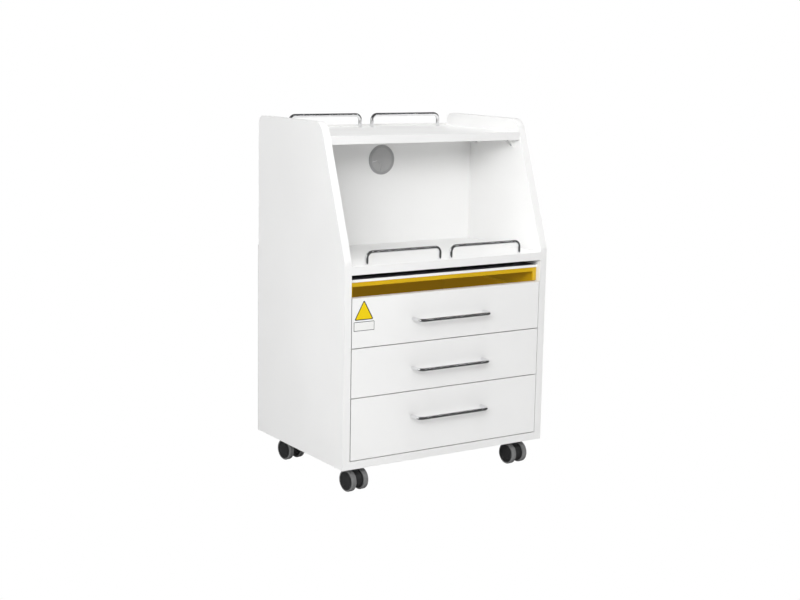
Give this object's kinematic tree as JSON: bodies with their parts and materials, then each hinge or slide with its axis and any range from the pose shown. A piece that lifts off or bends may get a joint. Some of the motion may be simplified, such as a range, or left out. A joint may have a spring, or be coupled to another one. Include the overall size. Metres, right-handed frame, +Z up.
{
  "type": "wheeled manicure work cabinet",
  "caption": "White wheeled manicure cabinet with an open niche, a yellow UV slot, drawers with U-shaped chrome handles, guard rails and twin-wheel casters.",
  "frame": {"origin": "on the floor, under the middle of the bounding box", "axes": "+Z up; the drawers open towards -Y; +X is the cabinet's right seen from the front"},
  "size_m": [0.55, 0.449, 0.8215],
  "materials": {
    "melamine": "satin white melamine-faced board",
    "backboard": "white faced hardboard",
    "drawer_board": "white melamine-faced drawer board",
    "drawer_base": "white faced thin board",
    "yellow_acrylic": "polished yellow acrylic",
    "lamp_glass": "clear quartz tube",
    "white_plastic": "moulded white plastic",
    "gear_case": "light painted case",
    "black_plastic": "moulded black plastic",
    "grey_plastic": "silver grey moulded plastic",
    "grey_tread": "grey soft tread on a black hub",
    "chrome": "polished chrome rod",
    "zinc_steel": "zinc plated steel",
    "zinc_alloy": "zinc alloy casting"
  },
  "bodies": {
    "cabinet": {"left_side_panel": "melamine", "right_side_panel": "melamine", "bottom_panel": "melamine", "worktop_shelf": "melamine", "top_shelf": "melamine", "niche_back_panel": "melamine", "rear_panel": "backboard", "hood_carrier_panel": "melamine", "uv_hood": "yellow_acrylic", "uv_lamp_tube": "lamp_glass", "uv_lamp_sockets": "white_plastic", "uv_ballast": "gear_case", "internal_lead": "black_plastic", "power_inlet": "black_plastic", "shelf_corner_brackets": "white_plastic", "upper_rail_left": "chrome", "upper_rail_right": "chrome", "lower_rail_left": "chrome", "lower_rail_right": "chrome", "rail_screws": "zinc_steel", "grommet_ring": "grey_plastic", "cabinet_slide_members": "zinc_steel", "caster_plates": "zinc_steel", "wood_screws": "zinc_steel", "cam_locks": "zinc_alloy"},
    "drawer_1": {"drawer_1_front": "melamine", "drawer_1_box": "drawer_board", "drawer_1_base": "drawer_base", "drawer_1_handle": "chrome", "drawer_1_screws": "zinc_steel", "drawer_1_slide_members": "zinc_steel", "drawer_1_uv_tray": "yellow_acrylic"},
    "slide_1_middle": {"slide_1_middle_members": "zinc_steel"},
    "drawer_2": {"drawer_2_front": "melamine", "drawer_2_box": "drawer_board", "drawer_2_base": "drawer_base", "drawer_2_handle": "chrome", "drawer_2_screws": "zinc_steel", "drawer_2_slide_members": "zinc_steel"},
    "slide_2_middle": {"slide_2_middle_members": "zinc_steel"},
    "drawer_3": {"drawer_3_front": "melamine", "drawer_3_box": "drawer_board", "drawer_3_base": "drawer_base", "drawer_3_handle": "chrome", "drawer_3_screws": "zinc_steel", "drawer_3_slide_members": "zinc_steel"},
    "slide_3_middle": {"slide_3_middle_members": "zinc_steel"},
    "grommet_cap": {"grommet_cap": "grey_plastic"},
    "caster_front_left": {"caster_front_left_body": "black_plastic"},
    "caster_front_left_inner_wheel": {"caster_front_left_inner_wheel": "grey_tread"},
    "caster_front_left_outer_wheel": {"caster_front_left_outer_wheel": "grey_tread"},
    "caster_front_right": {"caster_front_right_body": "black_plastic"},
    "caster_front_right_inner_wheel": {"caster_front_right_inner_wheel": "grey_tread"},
    "caster_front_right_outer_wheel": {"caster_front_right_outer_wheel": "grey_tread"},
    "caster_rear_left": {"caster_rear_left_body": "black_plastic"},
    "caster_rear_left_inner_wheel": {"caster_rear_left_inner_wheel": "grey_tread"},
    "caster_rear_left_outer_wheel": {"caster_rear_left_outer_wheel": "grey_tread"},
    "caster_rear_right": {"caster_rear_right_body": "black_plastic"},
    "caster_rear_right_inner_wheel": {"caster_rear_right_inner_wheel": "grey_tread"},
    "caster_rear_right_outer_wheel": {"caster_rear_right_outer_wheel": "grey_tread"}
  },
  "joints": [
    {"name": "drawer_1_slide", "type": "slide", "parent": "cabinet", "child": "drawer_1", "axis": [0, -1, 0], "range_m": [0, 0.35]},
    {"name": "slide_1_middle_travel", "type": "slide", "parent": "cabinet", "child": "slide_1_middle", "axis": [0, -1, 0], "range_m": [0, 0.175]},
    {"name": "drawer_2_slide", "type": "slide", "parent": "cabinet", "child": "drawer_2", "axis": [0, -1, 0], "range_m": [0, 0.35]},
    {"name": "slide_2_middle_travel", "type": "slide", "parent": "cabinet", "child": "slide_2_middle", "axis": [0, -1, 0], "range_m": [0, 0.175]},
    {"name": "drawer_3_slide", "type": "slide", "parent": "cabinet", "child": "drawer_3", "axis": [0, -1, 0], "range_m": [0, 0.35]},
    {"name": "slide_3_middle_travel", "type": "slide", "parent": "cabinet", "child": "slide_3_middle", "axis": [0, -1, 0], "range_m": [0, 0.175]},
    {"name": "grommet_cap_turn", "type": "hinge", "parent": "cabinet", "child": "grommet_cap", "pos_m": [-0.002, 0.1025, 0.715], "axis": [0, -1, 0], "continuous": true},
    {"name": "caster_front_left_swivel", "type": "hinge", "parent": "cabinet", "child": "caster_front_left", "pos_m": [-0.2202, -0.1335, 0.05], "axis": [0, 0, 1], "continuous": true},
    {"name": "caster_front_left_inner_wheel_spin", "type": "hinge", "parent": "caster_front_left", "child": "caster_front_left_inner_wheel", "pos_m": [-0.20186, -0.14334, 0.025], "axis": [0.9925, 0.1219, 0], "continuous": true},
    {"name": "caster_front_left_outer_wheel_spin", "type": "hinge", "parent": "caster_front_left", "child": "caster_front_left_outer_wheel", "pos_m": [-0.23561, -0.14748, 0.025], "axis": [0.9925, 0.1219, 0], "continuous": true},
    {"name": "caster_front_right_swivel", "type": "hinge", "parent": "cabinet", "child": "caster_front_right", "pos_m": [0.227, -0.1335, 0.05], "axis": [0, 0, 1], "continuous": true},
    {"name": "caster_front_right_inner_wheel_spin", "type": "hinge", "parent": "caster_front_right", "child": "caster_front_right_inner_wheel", "pos_m": [0.24498, -0.14397, 0.025], "axis": [0.9962, 0.0872, 0], "continuous": true},
    {"name": "caster_front_right_outer_wheel_spin", "type": "hinge", "parent": "caster_front_right", "child": "caster_front_right_outer_wheel", "pos_m": [0.21111, -0.14694, 0.025], "axis": [0.9962, 0.0872, 0], "continuous": true},
    {"name": "caster_rear_left_swivel", "type": "hinge", "parent": "cabinet", "child": "caster_rear_left", "pos_m": [-0.2202, 0.1575, 0.05], "axis": [0, 0, 1], "continuous": true},
    {"name": "caster_rear_left_inner_wheel_spin", "type": "hinge", "parent": "caster_rear_left", "child": "caster_rear_left_inner_wheel", "pos_m": [-0.20153, 0.14831, 0.025], "axis": [0.9877, 0.1564, 0], "continuous": true},
    {"name": "caster_rear_left_outer_wheel_spin", "type": "hinge", "parent": "caster_rear_left", "child": "caster_rear_left_outer_wheel", "pos_m": [-0.23511, 0.14299, 0.025], "axis": [0.9877, 0.1564, 0], "continuous": true},
    {"name": "caster_rear_right_swivel", "type": "hinge", "parent": "cabinet", "child": "caster_rear_right", "pos_m": [0.227, 0.1575, 0.05], "axis": [0, 0, 1], "continuous": true},
    {"name": "caster_rear_right_inner_wheel_spin", "type": "hinge", "parent": "caster_rear_right", "child": "caster_rear_right_inner_wheel", "pos_m": [0.24516, 0.14734, 0.025], "axis": [0.9945, 0.1045, 0], "continuous": true},
    {"name": "caster_rear_right_outer_wheel_spin", "type": "hinge", "parent": "caster_rear_right", "child": "caster_rear_right_outer_wheel", "pos_m": [0.21135, 0.14379, 0.025], "axis": [0.9945, 0.1045, 0], "continuous": true}
  ],
  "couplings": [
    {"joint": "slide_1_middle_travel", "follows": "drawer_1_slide", "ratio": 0.5},
    {"joint": "slide_2_middle_travel", "follows": "drawer_2_slide", "ratio": 0.5},
    {"joint": "slide_3_middle_travel", "follows": "drawer_3_slide", "ratio": 0.5}
  ]
}
